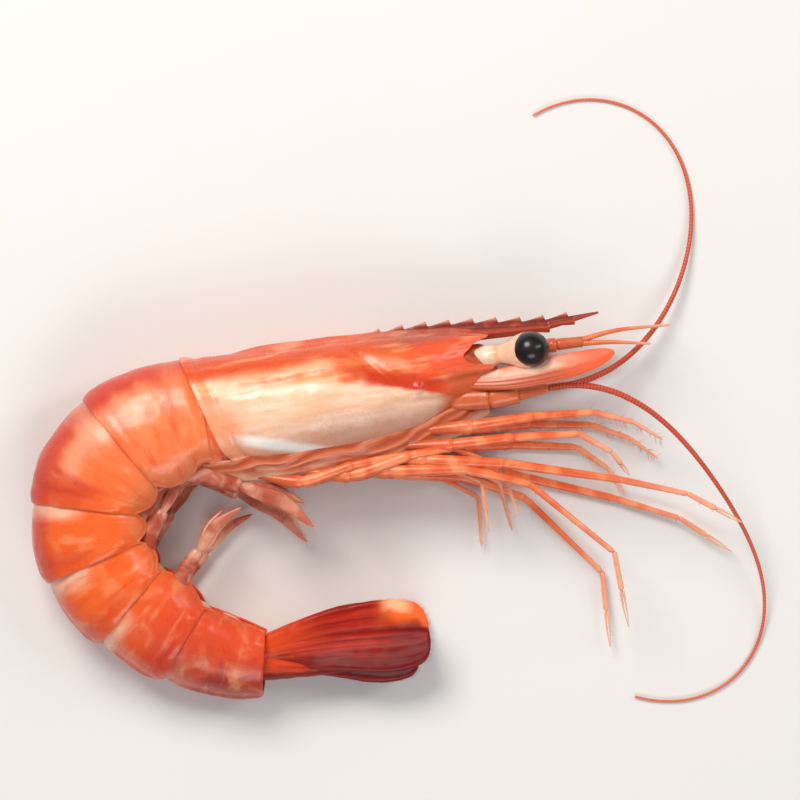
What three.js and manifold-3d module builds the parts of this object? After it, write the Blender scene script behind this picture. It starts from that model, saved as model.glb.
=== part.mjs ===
// A cooked tiger prawn, whole and in its shell, lying on its left side with its tail curled under.
// Millimetres, +Z up. The prawn's mid-plane lies level, just above the surface that it rests on: the head points
// along +X, the back of the head faces +Y, and the right side of the prawn faces up.
//
// The prawn is one piece, so head shell, abdomen, tail fan, legs and swimmerets are one closed solid. The black
// eyes sit in the cups of their stalks, and the two long feelers are hair-thin whips: these are solids of their own.

import * as THREE from "three";
import { mergeVertices } from "three/addons/utils/BufferGeometryUtils.js";
import Module from "manifold-3d";

const wasm = await Module();
wasm.setup();
const { degToRad, lerp, clamp, smoothstep } = THREE.MathUtils;

// ---------------------------------------------------------------- driving dimensions, in millimetres and degrees

const HEAD_LENGTH = 34; // head shell, from its rear edge to the eye socket
const HEAD_TILT = 10; // the head's axis above +X
const HEAD_HEIGHT = 7.1; // mid-plane of the head above the surface
const TAIL_HEIGHT = 4.9; // mid-plane of the tail, which is slimmer and so lies lower
const RINGS = [
  // the neck under the head shell and the six rings of the abdomen: length along the middle, and bend
  { length: 4.5, bend: 2 },
  { length: 8.4, bend: 25 },
  { length: 8.3, bend: 43 },
  { length: 6.1, bend: 31 },
  { length: 6.7, bend: 29 },
  { length: 8.3, bend: 7 },
  { length: 10.8, bend: 30 },
];
const FAN_TURN = 9; // the tail fan is bent on from the last ring
const TELSON_LENGTH = 20;
const UROPOD_LENGTH = 23.5; // outer blades of the fan; the inner ones are a little shorter
const ROSTRUM_REACH = 17; // how far the beak stands out past the eye socket
const EYE_RADIUS = 2.5;
const EYE = { forward: 41.2, up: 2.4, side: 4.4 };
const GAP = 0.3; // clearance between touching solids
const SHELL_STEP = 0.55; // how far the rear edge of each shell plate stands out over the next

// The outline in side view and from above, as [place along the body, size]. The place is 0 at the rear edge of
// the head, negative towards the beak and positive towards the tail.
const BACK = [[-34, 5.4], [-28, 7.0], [-18, 8.0], [-8, 8.5], [0, 8.8], [8, 9.6], [16, 9.8], [25.5, 9.0],
  [34, 8.2], [41, 7.4], [47, 6.3], [53, 5.0]];
const BELLY = [[0, 7.6], [8, 8.0], [16, 7.8], [25.5, 7.1], [34, 6.6], [41, 6.0], [47, 5.2], [53, 4.5]];
const CHEEK = [[-34, 3.4], [-29, 4.7], [-21, 6.3], [-11, 6.7], [-2, 6.4], [4, 5.8]];
const HALF_WIDTH = [[-34, 3.9], [-28, 5.7], [-18, 7.3], [-8, 7.6], [0, 7.4], [8, 7.4], [16, 7.3], [25.5, 6.9],
  [34, 6.3], [41, 5.6], [47, 4.8], [53, 3.9]];

const SHELL_SIDES = 26;
const RING_FRACTIONS = [0.04, 0.3, 0.6, 0.88, 1];

const SHELL = { color: 0xd9582b, roughness: 0.35, metalness: 0 };
const FEELER = { color: 0xb8402a, roughness: 0.45, metalness: 0 };
const EYE_BLACK = { color: 0x0e0c10, roughness: 0.1, metalness: 0 };

// ---------------------------------------------------------------- the line through the middle of the body

const ABDOMEN_LENGTH = RINGS.reduce((sum, ring) => sum + ring.length, 0);
const HEAD_FORWARD = new THREE.Vector3(Math.cos(degToRad(HEAD_TILT)), Math.sin(degToRad(HEAD_TILT)), 0);
const UP = new THREE.Vector3(0, 0, 1);

// A smooth curve through a table of [place, size].
function smooth(table, place) {
  const last = table.length - 1;
  let i = 0;
  while (i < last - 1 && place > table[i + 1][0]) i += 1;
  const slope = (j) => {
    const a = table[Math.max(j - 1, 0)];
    const b = table[Math.min(j + 1, last)];
    return (b[1] - a[1]) / (b[0] - a[0]);
  };
  const [x0, y0] = table[i];
  const [x1, y1] = table[i + 1];
  const run = x1 - x0;
  const t = clamp((place - x0) / run, 0, 1);
  const rise = t * t * (3 - 2 * t);
  return y0 + (y1 - y0) * rise + run * t * (1 - t) * ((1 - t) * slope(i) - t * slope(i + 1));
}

function frameAt(point, heading) {
  const tail = new THREE.Vector3(Math.cos(heading), Math.sin(heading), 0);
  return { point, heading, tail, back: tail.clone().cross(UP) };
}

// Where the line is at a place along the body: its point, the way to the tail, and the way to the back.
function spine(place) {
  const point = HEAD_FORWARD.clone().multiplyScalar(Math.max(-place, 0));
  let heading = Math.PI + degToRad(HEAD_TILT);
  let left = Math.max(place, 0);
  for (const { length, bend } of RINGS) {
    const run = Math.min(left, length);
    const curvature = degToRad(bend) / length;
    const next = heading + curvature * run;
    point.x += (Math.sin(next) - Math.sin(heading)) / curvature;
    point.y -= (Math.cos(next) - Math.cos(heading)) / curvature;
    heading = next;
    left -= run;
  }
  point.z = lerp(HEAD_HEIGHT, TAIL_HEIGHT, smoothstep(place, 0, ABDOMEN_LENGTH));
  return frameAt(point, heading);
}

const from = (frame, along, up, side) =>
  frame.point.clone().addScaledVector(frame.tail, along).addScaledVector(frame.back, up).addScaledVector(UP, side);

// A point of the head: forward of its rear edge, above its axis, and to the prawn's right.
const headPoint = (forward, up, side) => from(spine(0), -forward, up, side);

// The end of the last ring, turned on by the fan's bend.
const FAN_ROOT = 2.5;
const fan = (() => {
  const end = spine(ABDOMEN_LENGTH);
  return frameAt(from(end, -FAN_ROOT, 0, 0), end.heading + degToRad(FAN_TURN));
})();

// ---------------------------------------------------------------- ways of making a solid

// A closed surface through rings of points that all have the same count.
function loft(rings) {
  const count = rings[0].length;
  const centre = (ring) => ring.reduce((sum, p) => sum.add(p), new THREE.Vector3()).divideScalar(count);
  const points = [...rings.flat(), centre(rings[0]), centre(rings.at(-1))];
  const first = rings.length * count;
  const end = first - count;
  const faces = [];
  for (let j = 0; j < count; j += 1) {
    const next = (j + 1) % count;
    for (let a = 0; a < end; a += count) {
      const b = a + count;
      faces.push(a + j, a + next, b + j, a + next, b + next, b + j);
    }
    faces.push(first, next, j, first + 1, end + j, end + next);
  }
  const geometry = new THREE.BufferGeometry().setFromPoints(points);
  geometry.setIndex(faces);
  return geometry;
}

// A closed geometry as a solid with its faces pointing out.
function solidOf(geometry) {
  const plain = geometry.clone();
  plain.deleteAttribute("normal");
  plain.deleteAttribute("uv");
  const merged = mergeVertices(plain, 1e-4);
  const vertProperties = merged.attributes.position.array;
  const make = (triVerts) => new wasm.Manifold(new wasm.Mesh({ numProp: 3, vertProperties, triVerts }));
  const faces = new Uint32Array(merged.index.array);
  const made = make(faces);
  return made.volume() > 0 ? made : make(faces.reverse());
}

function geometryOf(solid) {
  const { vertProperties, triVerts } = solid.getMesh();
  const geometry = new THREE.BufferGeometry();
  geometry.setAttribute("position", new THREE.BufferAttribute(new Float32Array(vertProperties), 3));
  geometry.setIndex(new THREE.BufferAttribute(new Uint32Array(triVerts), 1));
  geometry.computeVertexNormals();
  return geometry;
}

const join = (solids) => wasm.Manifold.union(solids);

// The outer surface alone: small hollows that joining seals between limbs are filled.
const filled = (solid) => solid.decompose().reduce((most, part) => (part.volume() > most.volume() ? part : most));

// An oval ring round a point of a limb that runs along way. thin is the direction of its short way.
function oval(point, way, thin, wide, thick, sides) {
  const across = way.clone().cross(thin).normalize();
  const through = across.clone().cross(way).normalize();
  return Array.from({ length: sides }, (_, i) => {
    const turn = (2 * Math.PI * i) / sides;
    return point.clone()
      .addScaledVector(across, wide * Math.cos(turn))
      .addScaledVector(through, thick * Math.sin(turn));
  });
}

// A limb or blade through points, with its half width and half thickness at each of them.
function limb(points, wide, { thick = wide, sides = 6, thin = UP } = {}) {
  const rings = points.map((point, i) => {
    const before = points[Math.max(i - 1, 0)];
    const after = points[Math.min(i + 1, points.length - 1)];
    return oval(point, after.clone().sub(before).normalize(), thin, wide[i], thick[i], sides);
  });
  return solidOf(loft(rings));
}

// ---------------------------------------------------------------- shell

// One ring of the body's section: round over the back, steep at the sides, drawn in and hollow at the belly.
function section({ back, belly, half, roundness, tuck, hollow, lobe = 1 }) {
  return Array.from({ length: SHELL_SIDES }, (_, i) => {
    const turn = (2 * Math.PI * i) / SHELL_SIDES;
    const above = Math.cos(turn) >= 0;
    const power = 2 / (above ? 2.2 : roundness);
    const a = Math.abs(Math.cos(turn)) ** power;
    const c = Math.abs(Math.sin(turn)) ** power;
    return {
      up: above ? back * a : -belly * a * lerp(1 - hollow, lobe, c ** 1.2),
      side: Math.sign(Math.sin(turn)) * half * c * (above ? 1 : 1 - tuck * a * a),
    };
  });
}

// The neck and the six rings of the abdomen. Each plate widens to its rear edge and steps down to the next, and
// its side lobes hang lowest at its middle.
function abdomen() {
  const rings = [];
  let start = 0;
  RINGS.forEach(({ length }, index) => {
    for (const fraction of RING_FRACTIONS) {
      const place = start + fraction * length;
      const lift = index === 0 ? -0.1 : SHELL_STEP * smoothstep(fraction, 0, 1) - 0.1;
      const frame = spine(place);
      rings.push(section({
        back: smooth(BACK, place) + lift,
        belly: smooth(BELLY, place) + 0.4 * lift,
        half: smooth(HALF_WIDTH, place) + 0.6 * lift,
        roundness: 2.9,
        tuck: 0.3,
        hollow: 0.26,
        lobe: index === RINGS.length - 1 ? 0.92 : 0.8 + 0.2 * Math.sin(Math.PI * fraction) ** 0.6,
      }).map(({ up, side }) => from(frame, 0, up, side)));
    }
    start += length;
  });
  return solidOf(loft(rings));
}

// The head shell, from its rear edge, which slants and then rounds forwards at the belly, to its blunt front.
function headShell() {
  const SLANT = 0.27;
  const CORNER = 0.17;
  const places = [2.4, 1.9, -1, -5, -10, -15, -20, -25, -29, -32, -34, -36, -37];
  const rings = places.map((place) => {
    const at = Math.max(place, -HEAD_LENGTH);
    const taper = 1 - 0.14 * (at - place);
    const lip = place > 2 ? 0 : 0.4 * smoothstep(place, -4, 1.9);
    const sweep = smoothstep(place, -14, 2);
    return section({
      back: (smooth(BACK, at + 2 * sweep) + lip) * taper,
      belly: (smooth(CHEEK, at) + lip) * taper,
      half: (smooth(HALF_WIDTH, at) + lip) * taper,
      roundness: 2.4,
      tuck: 0.2,
      hollow: 0,
    }).map(({ up, side }) =>
      headPoint(-place - sweep * (SLANT * up - CORNER * Math.min(up + 3, 0) ** 2), up, side));
  });
  return solidOf(loft(rings));
}

// The breast under the head shell, narrower than it, that carries the legs.
function breast() {
  const stations = [
    { forward: -4, top: -2, bottom: -7.4, half: 4.2 },
    { forward: 2, top: -2, bottom: -8.9, half: 4.9 },
    { forward: 10, top: -2, bottom: -9.9, half: 4.9 },
    { forward: 21, top: -2, bottom: -9.7, half: 4.4 },
    { forward: 28, top: -1, bottom: -7.8, half: 3.6 },
    { forward: 34, top: 0, bottom: -5.2, half: 2.6 },
  ];
  const rings = stations.map(({ forward, top, bottom, half }) =>
    oval(headPoint(forward, (top + bottom) / 2, 0), HEAD_FORWARD, UP, (top - bottom) / 2, half, 14));
  return solidOf(loft(rings));
}

// The beak: a thin blade along the ridge of the head shell, with teeth that point forwards and a rib at each side.
function rostrum() {
  const TEETH = 9;
  const PITCH = 3.1;
  const TOOTH = 0.7;
  const THICK = 0.9;
  const tip = HEAD_LENGTH + ROSTRUM_REACH;
  const start = tip - 4 - TEETH * PITCH;
  const top = (forward) => smooth([[start, 7.8], [26, 7.9], [34, 7.2], [43, 6.0], [tip, 5.8]], forward);
  const under = (forward) => smooth([[start, 5.8], [26, 5.4], [34, 4.8], [43, 4.5], [tip, 5.4]], forward);
  const edge = [];
  for (let i = 0; i < TEETH; i += 1) {
    const foot = start + i * PITCH;
    edge.push([foot, top(foot)], [foot + 0.8 * PITCH, top(foot) + TOOTH]);
  }
  edge.push([tip - 4, top(tip - 4)], [tip, top(tip)]);
  for (const forward of [tip, tip - 4, 43, 34, 26, start]) edge.push([forward, under(forward)]);
  const shape = new THREE.Shape(edge.map(([forward, up]) => new THREE.Vector2(forward, up)));
  const blade = new THREE.ExtrudeGeometry(shape, { depth: THICK, bevelEnabled: false });
  blade.translate(0, 0, -THICK / 2);
  blade.rotateZ(degToRad(HEAD_TILT));
  blade.translate(0, 0, HEAD_HEIGHT);
  const middle = [26, 34, 40, 46, tip - 1].map((forward) =>
    headPoint(forward, (top(forward) + under(forward)) / 2, 0));
  return solidOf(blade).add(limb(middle, [1.2, 1.1, 0.8, 0.6, 0.2], { thick: [1.8, 1.5, 1.2, 0.9, 0.6], sides: 8 }));
}

// ---------------------------------------------------------------- head limbs

const SIDES = ["right", "left"];
const mirror = (side) => (side === "right" ? 1 : -1);

// A stalk from beside the beak out to the eye.
function eyeStalk(side) {
  const hand = mirror(side);
  return limb(
    [headPoint(34, 2.2, 1.4 * hand), headPoint(37.5, 2.4, 2.7 * hand), headPoint(40.2, 2.4, 4.0 * hand)],
    [1.3, 1.4, 1.8], { sides: 8 });
}

// The eye, or with a gap the room that its stalk leaves for it.
function eye(side, gap = 0) {
  const ball = new THREE.SphereGeometry(EYE_RADIUS + gap, 18, 12);
  ball.translate(...headPoint(EYE.forward, EYE.up, EYE.side * mirror(side)).toArray());
  return solidOf(ball);
}

// The antennal scale, a leaf-shaped blade under the eye.
function antennalScale(side) {
  const hand = mirror(side);
  const path = [[33, -0.5, 3.2], [37, -0.8, 4.2], [43, -0.7, 4.5], [48.5, -0.3, 4.3], [52, 0.2, 4.0]];
  return limb(path.map(([forward, up, out]) => headPoint(forward, up, out * hand)), [1.1, 1.7, 1.9, 1.5, 0.5],
    { thick: [0.8, 0.6, 0.5, 0.45, 0.35], sides: 8, thin: new THREE.Vector3(0.1, 0.55, 0.83 * hand).normalize() });
}

// The inner feeler: a thick root between the eyes with two short whips.
function antennule(side) {
  const hand = mirror(side);
  const place = ([forward, up, out]) => headPoint(forward, up, out * hand);
  const root = limb([[33, 2.2, 1.4], [39, 2.6, 1.7], [45, 2.4, 1.9], [48, 2.2, 2.0]].map(place),
    [1.5, 1.35, 1.15, 0.8]);
  const upper = limb([[47, 2.3, 2.0], [53, 2.9, 2.4], [60, 2.4, 2.6]].map(place), [0.55, 0.42, 0.25], { sides: 5 });
  const lower = limb([[47, 2.2, 2.0], [52, 1.5, 2.2], [57, 0.4, 2.1]].map(place), [0.55, 0.42, 0.25], { sides: 5 });
  return join([root, upper, lower]);
}

// The stout joints at the root of the long feeler.
const FEELER_ROOT = { forward: 42.5, up: -3.0, side: 3.0 };

function feelerRoot(side) {
  const hand = mirror(side);
  const { forward, up, side: out } = FEELER_ROOT;
  return limb([[31, -2.6, 2.6], [35, -3.0, 3.0], [38.5, -3.0, 3.2], [forward, up, out]]
    .map(([u, v, w]) => headPoint(u, v, w * hand)), [1.7, 1.8, 1.4, 0.7]);
}

// The long feeler itself: a tapering whip that turns steadily and sinks until it lies on the surface. The right
// one sweeps forwards and under, the left one up and back over the head.
const WHIPS = {
  right: { length: 70, start: -2, turn: -190, wave: -16, sink: [0.2, 0.75] },
  left: { length: 64, start: -4, turn: 200, wave: 8, sink: [0.05, 0.6] },
};
const WHIP_WAVES = 2.6; // half turns of the wave along a whip
const WHIP_STEPS = 36;
const WHIP_RADIUS = [0.55, 0.25]; // at its root and at its tip
const WHIP_REST = 0.35; // height of the whip's middle where it lies

function whip(side) {
  const { length, start, turn, wave, sink } = WHIPS[side];
  const step = length / WHIP_STEPS;
  let [forward, up] = [FEELER_ROOT.forward + GAP, FEELER_ROOT.up];
  const points = [];
  const sizes = [];
  for (let i = 0; i <= WHIP_STEPS; i += 1) {
    const share = i / WHIP_STEPS;
    const out = lerp(FEELER_ROOT.side * mirror(side), WHIP_REST - HEAD_HEIGHT, smoothstep(share, ...sink));
    points.push(headPoint(forward, up, out));
    sizes.push(lerp(...WHIP_RADIUS, share));
    const heading = degToRad(start + turn * share ** 1.15 + wave * Math.sin(WHIP_WAVES * Math.PI * share));
    forward += step * Math.cos(heading);
    up += step * Math.sin(heading);
  }
  return limb(points, sizes, { sides: 5 });
}

// ---------------------------------------------------------------- legs

// Each leg's root on the head, its girth there, and the length and heading of each of its joints in side view.
// Headings are measured up from forwards.
const LEGS = [
  { root: [28, -5.0], girth: 1.1, lengths: [4.2, 8.0, 8.0, 5.5, 4.6], headings: [-17, -1, -6, -24, -41] },
  { root: [25, -6.5], girth: 1.1, lengths: [4.4, 8.0, 8.6, 5.1, 3.8], headings: [-23, -3, -7, -39, -63] },
  { root: [21, -7.0], girth: 1.2, lengths: [4.8, 10.2, 15.7, 9.2, 8.2], headings: [-33, -12, -18, -22, -38] },
  { root: [16.5, -7.2], girth: 1.2, lengths: [4.6, 10.1, 8.7, 14.5, 10.0], headings: [-41, -8, -23, -49, -89] },
  { root: [12, -7.4], girth: 1.15, lengths: [4.0, 8.1, 6.0, 6.9, 6.7], headings: [-41, 10, 0, -33, -80] },
  { root: [7, -7.2], girth: 1.1, lengths: [3.0, 7.1, 8.0, 9.9, 6.6], headings: [-60, 10, 1, -32, -92] },
];
const LEG_TAPER = [1, 0.95, 0.78, 0.58, 0.42, 0.24]; // share of the girth at each joint
const LEG_WAIST = 0.86; // each length between two joints is thinner at its middle by this share
const LEG_SPREAD = { root: 2.8, bulge: 2.2, sink: { right: 1.4, left: 2.6 }, lag: { right: 0, left: -5 } };

function leg({ root, girth, lengths, headings }, side) {
  const reach = lengths.reduce((sum, length) => sum + length, 0);
  const { bulge, sink, lag } = LEG_SPREAD;
  let [forward, up] = root;
  let gone = 0;
  const place = () => {
    const share = gone / reach;
    const out = LEG_SPREAD.root + bulge * Math.sin(Math.PI * share ** 0.7);
    return headPoint(forward, up, out * mirror(side) - sink[side] * share);
  };
  const points = [place()];
  const sizes = [girth];
  lengths.forEach((length, i) => {
    const heading = degToRad(headings[i] + lag[side]);
    for (const half of [1, 2]) {
      forward += (length / 2) * Math.cos(heading);
      up += (length / 2) * Math.sin(heading);
      gone += length / 2;
      points.push(place());
      sizes.push(girth * (half === 1 ? (LEG_WAIST * (LEG_TAPER[i] + LEG_TAPER[i + 1])) / 2 : LEG_TAPER[i + 1]));
    }
  });
  return limb(points, sizes);
}

// ---------------------------------------------------------------- swimmerets

// One pair hangs from each of the first five rings and sweeps forwards from straight down.
const SWIMMERET = { root: 6.4, outer: 11.0, inner: 8.5, side: 3.4, sweeps: [52, 58, 50, 32, 8] };

function swimmeret(index, side) {
  const hand = mirror(side);
  const before = RINGS.slice(0, index + 1).reduce((sum, ring) => sum + ring.length, 0);
  const place = before + 0.5 * RINGS[index + 1].length;
  const size = lerp(1, 0.72, index / 4);
  const frame = spine(place);
  const belly = smooth(BELLY, place);
  const sweep = degToRad(SWIMMERET.sweeps[index] - (side === "left" ? 7 : 0));
  const way = (extra) => frame.back.clone().multiplyScalar(-Math.cos(sweep + extra))
    .addScaledVector(frame.tail, -Math.sin(sweep + extra));
  const start = from(frame, 0, -0.6 * belly, SWIMMERET.side * hand);
  const knee = start.clone().addScaledVector(way(0), (SWIMMERET.root + 0.3 * belly) * size);
  const blade = (length, extra, lift, width) => {
    const middle = knee.clone().addScaledVector(way(extra), 0.5 * length).addScaledVector(UP, lift);
    const tip = middle.clone().addScaledVector(way(extra - 0.35), 0.5 * length).addScaledVector(UP, lift);
    const back = knee.clone().addScaledVector(way(0), -0.8);
    return limb([back, knee.clone().lerp(middle, 0.5), middle, tip], [0.8, width, 0.9 * width, 0.35],
      { thick: [0.7, 0.6, 0.5, 0.3] });
  };
  return join([
    limb([start, start.clone().lerp(knee, 0.55), knee], [1.3 * size, 1.35 * size, 0.95 * size]),
    blade(SWIMMERET.outer * size, -0.1, 0.3 * hand, 1.0 * size),
    blade(SWIMMERET.inner * size, 0.15, -0.6 * hand, 0.75 * size),
  ]);
}

// ---------------------------------------------------------------- tail fan

// The telson: a spike along the back of the fan.
function telson() {
  const stations = [
    { along: -1, up: 0.6, wide: 3.6, thick: 3.0 },
    { along: 4, up: 2.2, wide: 2.0, thick: 2.7 },
    { along: 11, up: 3.0, wide: 1.2, thick: 1.9 },
    { along: TELSON_LENGTH - 2, up: 3.4, wide: 0.8, thick: 1.0 },
    { along: TELSON_LENGTH + FAN_ROOT, up: 3.6, wide: 0.4, thick: 0.35 },
  ];
  return limb(stations.map(({ along, up }) => from(fan, along, up, 0)), stations.map(({ wide }) => wide),
    { thick: stations.map(({ thick }) => thick), sides: 10 });
}

// One blade of the fan, folded down beside the telson like the leaf of a shut fan.
function uropod(side, outer) {
  const hand = mirror(side);
  const length = outer ? UROPOD_LENGTH : UROPOD_LENGTH - 1.5;
  const out = outer ? 2.9 : 1.7;
  const droop = outer ? -0.6 : 1.1;
  const stations = [
    { share: 0, up: 0.4, wide: 1.9, thick: 1.3 },
    { share: 0.18, up: 0.0, wide: 2.7, thick: 0.9 },
    { share: 0.45, up: -0.2, wide: 4.1, thick: 0.6 },
    { share: 0.75, up: 0.2, wide: 4.9, thick: 0.5 },
    { share: 0.93, up: 0.4, wide: 4.1, thick: 0.4 },
    { share: 1, up: 0.4, wide: 2.3, thick: 0.3 },
  ];
  const points = stations.map(({ share, up }) =>
    from(fan, 1 + share * length, up + droop * share, hand * lerp(1.4, out, smoothstep(share, 0, 0.4))));
  const lean = UP.clone().addScaledVector(fan.back, 0.28 * hand).normalize();
  return limb(points, stations.map(({ wide }) => wide),
    { thick: stations.map(({ thick }) => thick), sides: 10, thin: lean });
}

// ---------------------------------------------------------------- the whole prawn

// Its own weight flattens the side that it lies on.
function restingFlat(solid) {
  const slab = new THREE.BoxGeometry(400, 400, 20);
  slab.translate(0, 0, -10);
  return solid.subtract(solidOf(slab));
}

function prawn() {
  const parts = [abdomen(), headShell(), breast(), rostrum(), telson()];
  for (const side of SIDES) {
    parts.push(eyeStalk(side), antennalScale(side), antennule(side), feelerRoot(side));
    parts.push(uropod(side, true), uropod(side, false));
    LEGS.forEach((each) => parts.push(leg(each, side)));
    SWIMMERET.sweeps.forEach((_, index) => parts.push(swimmeret(index, side)));
  }
  const whole = join(parts).subtract(eye("right", GAP)).subtract(eye("left", GAP));
  return filled(restingFlat(whole));
}

function piece(name, solid, finish) {
  const mesh = new THREE.Mesh(geometryOf(solid), new THREE.MeshStandardMaterial(finish));
  mesh.name = name;
  return mesh;
}

const group = new THREE.Group();
group.add(piece("prawn", prawn(), SHELL));
for (const side of SIDES) {
  group.add(piece(`eye_${side}`, eye(side), EYE_BLACK), piece(`feeler_${side}`, whip(side), FEELER));
}

// The origin is the middle of the outline, on the surface that the prawn rests on.
const box = new THREE.Box3().setFromObject(group);
const middle = box.getCenter(new THREE.Vector3());
group.position.set(-middle.x, -middle.y, -box.min.z);

export default group;
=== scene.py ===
"""The looks of a cooked tiger prawn, whole and in its shell, that lies on its left side.

The shapes below are worked out in millimetres in the prawn's own frame: the rear edge of its head shell is
at x = y = 0, the head points along +X and is tilted up a little towards +Y, and the right side faces up. A
place is a distance along the body from that edge, negative towards the beak and positive towards the tail.
"""

import math
import random

import bpy
import numpy as np
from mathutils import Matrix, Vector, noise


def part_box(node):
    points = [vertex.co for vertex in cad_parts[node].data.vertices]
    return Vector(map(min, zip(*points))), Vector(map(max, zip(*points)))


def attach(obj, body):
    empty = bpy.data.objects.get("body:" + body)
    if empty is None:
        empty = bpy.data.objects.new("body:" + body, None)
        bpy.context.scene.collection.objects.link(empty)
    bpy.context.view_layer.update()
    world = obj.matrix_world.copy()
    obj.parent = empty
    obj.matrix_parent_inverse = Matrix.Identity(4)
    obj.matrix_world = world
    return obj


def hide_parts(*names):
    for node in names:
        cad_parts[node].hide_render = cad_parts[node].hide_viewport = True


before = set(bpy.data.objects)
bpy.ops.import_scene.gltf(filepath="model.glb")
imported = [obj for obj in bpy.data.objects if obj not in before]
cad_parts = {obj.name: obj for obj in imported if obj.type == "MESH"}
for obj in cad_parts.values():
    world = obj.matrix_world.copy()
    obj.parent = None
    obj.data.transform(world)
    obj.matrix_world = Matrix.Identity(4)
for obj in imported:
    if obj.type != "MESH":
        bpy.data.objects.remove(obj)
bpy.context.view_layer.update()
random.seed(7)

# ---- driving dimensions, in millimetres and degrees

MM = 0.001
HEAD_LENGTH = 34
HEAD_TILT = 10
HEAD_HEIGHT = 7.1  # mid-plane of the head above the surface
TAIL_HEIGHT = 4.9  # mid-plane of the tail
# Length and bend of each ring, from the one that the head shell covers to the tail.
RINGS = [(4.5, 2), (8.4, 25), (8.3, 43), (6.1, 31), (6.7, 29), (8.3, 7), (10.8, 30)]
FAN_TURN = 9
FAN_ROOT = 2.5
TELSON_LENGTH = 20
UROPOD_LENGTH = 23.5
ROSTRUM_REACH = 17
EYE_RADIUS = 2.5
EYE = (41.2, 2.4, 4.4)  # forward, up and to the side
SHELL_STEP = 0.55  # how far the rear edge of each plate stands out over the next
SHELL_THICK = 0.32
PLATE_LIP = 0.7  # how far each plate reaches over the next

# The size of the body at places along it: from its middle line to the back, the belly, the edge of the head
# shell and either side.
BACK = [(-34, 5.4), (-28, 7.0), (-18, 8.0), (-8, 8.5), (0, 8.8), (8, 9.6), (16, 9.8), (25.5, 9.0), (34, 8.2),
        (41, 7.4), (47, 6.3), (53, 5.0)]
BELLY = [(0, 7.6), (8, 8.0), (16, 7.8), (25.5, 7.1), (34, 6.6), (41, 6.0), (47, 5.2), (53, 4.5)]
CHEEK = [(-34, 3.4), (-29, 4.7), (-21, 6.3), (-11, 6.7), (-2, 6.4), (4, 5.8)]
HALF_WIDTH = [(-34, 3.9), (-28, 5.7), (-18, 7.3), (-8, 7.6), (0, 7.4), (8, 7.4), (16, 7.3), (25.5, 6.9),
              (34, 6.3), (41, 5.6), (47, 4.8), (53, 3.9)]

UP = np.array([0.0, 0.0, 1.0])
STARTS = [sum(length for length, _ in RINGS[:i]) for i in range(len(RINGS) + 1)]
ABDOMEN_LENGTH = STARTS[-1]
HANDS = {"right": 1, "left": -1}


# ---- measuring along the body

def smoothstep(value, low, high):
    share = np.clip((value - low) / (high - low), 0, 1)
    return share * share * (3 - 2 * share)


def mix(low, high, share):
    return low + (high - low) * share


def bell(value, middle, width):
    """1 at the middle and falling off to nothing within about two widths."""
    return np.exp(-(((value - middle) / width) ** 2))


def window(value, low, high, soft):
    """1 between low and high, fading over a soft length at both ends."""
    return smoothstep(value, low - soft, low + soft) * (1 - smoothstep(value, high - soft, high + soft))


def turns(count):
    """Angles once round, evenly spaced."""
    return np.linspace(0, 2 * math.pi, count, endpoint=False)


def unit(vectors):
    return vectors / np.maximum(np.linalg.norm(vectors, axis=-1, keepdims=True), 1e-9)


def smooth(table, place):
    """A smooth curve through a table of (place, size)."""
    at, size = np.array(table, float).T
    last = len(at) - 1
    before = np.maximum(np.arange(last + 1) - 1, 0)
    after = np.minimum(np.arange(last + 1) + 1, last)
    slope = (size[after] - size[before]) / (at[after] - at[before])
    i = np.clip(np.searchsorted(at, place) - 1, 0, last - 1)
    gap = at[i + 1] - at[i]
    t = np.clip((place - at[i]) / gap, 0, 1)
    rise = t * t * (3 - 2 * t)
    bend = gap * t * (1 - t) * ((1 - t) * slope[i] - t * slope[i + 1])
    return size[i] + (size[i + 1] - size[i]) * rise + bend


def run(line):
    """How far along a line each of its points is."""
    return np.r_[0, np.cumsum(np.linalg.norm(np.diff(line, axis=0), axis=1))]


def rails(line, thin=UP):
    """The way along a line at each of its points, and the way across it, square to thin."""
    way = unit(np.gradient(line, axis=0))
    return way, unit(np.cross(way, thin))


def axes_at(point, heading):
    """A point, the way to the tail there and the way to the back."""
    tail = np.stack([np.cos(heading), np.sin(heading), np.zeros_like(heading)], -1)
    return point, tail, np.cross(tail, UP)


def spine(place):
    """The middle line of the prawn: straight through the head and bent at each ring."""
    place = np.asarray(place, float)
    tilt = math.radians(HEAD_TILT)
    ahead = np.maximum(-place, 0)
    x, y = ahead * math.cos(tilt), ahead * math.sin(tilt)
    heading = np.full_like(place, math.pi + tilt)
    left = np.maximum(place, 0)
    for length, bend in RINGS:
        step = np.minimum(left, length)
        curvature = math.radians(bend) / length
        following = heading + curvature * step
        x = x + (np.sin(following) - np.sin(heading)) / curvature
        y = y - (np.cos(following) - np.cos(heading)) / curvature
        heading = following
        left = left - step
    z = mix(HEAD_HEIGHT, TAIL_HEIGHT, smoothstep(place, 0, ABDOMEN_LENGTH))
    return axes_at(np.stack([x, y, z], -1), heading)


def at(axes, along, up, side):
    """A point, given by how far it is from the axes' own towards the tail, the back and the right."""
    point, tail, back = axes
    column = lambda value: np.asarray(value, float)[..., None]
    return point + tail * column(along) + back * column(up) + UP * column(side)


HEAD = spine(0)


def head_point(forward, up, side):
    return at(HEAD, -np.asarray(forward, float), up, side)


def head_line(points, hand, count):
    """A smooth line through (forward, up, out) points on one side of the head."""
    return curve([head_point(forward, up, out * hand) for forward, up, out in points], count)


def fan_axes():
    end = spine(ABDOMEN_LENGTH)
    heading = np.arctan2(end[1][1], end[1][0]) + math.radians(FAN_TURN)
    return axes_at(at(end, -FAN_ROOT, 0, 0), heading)


FAN = fan_axes()


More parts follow.
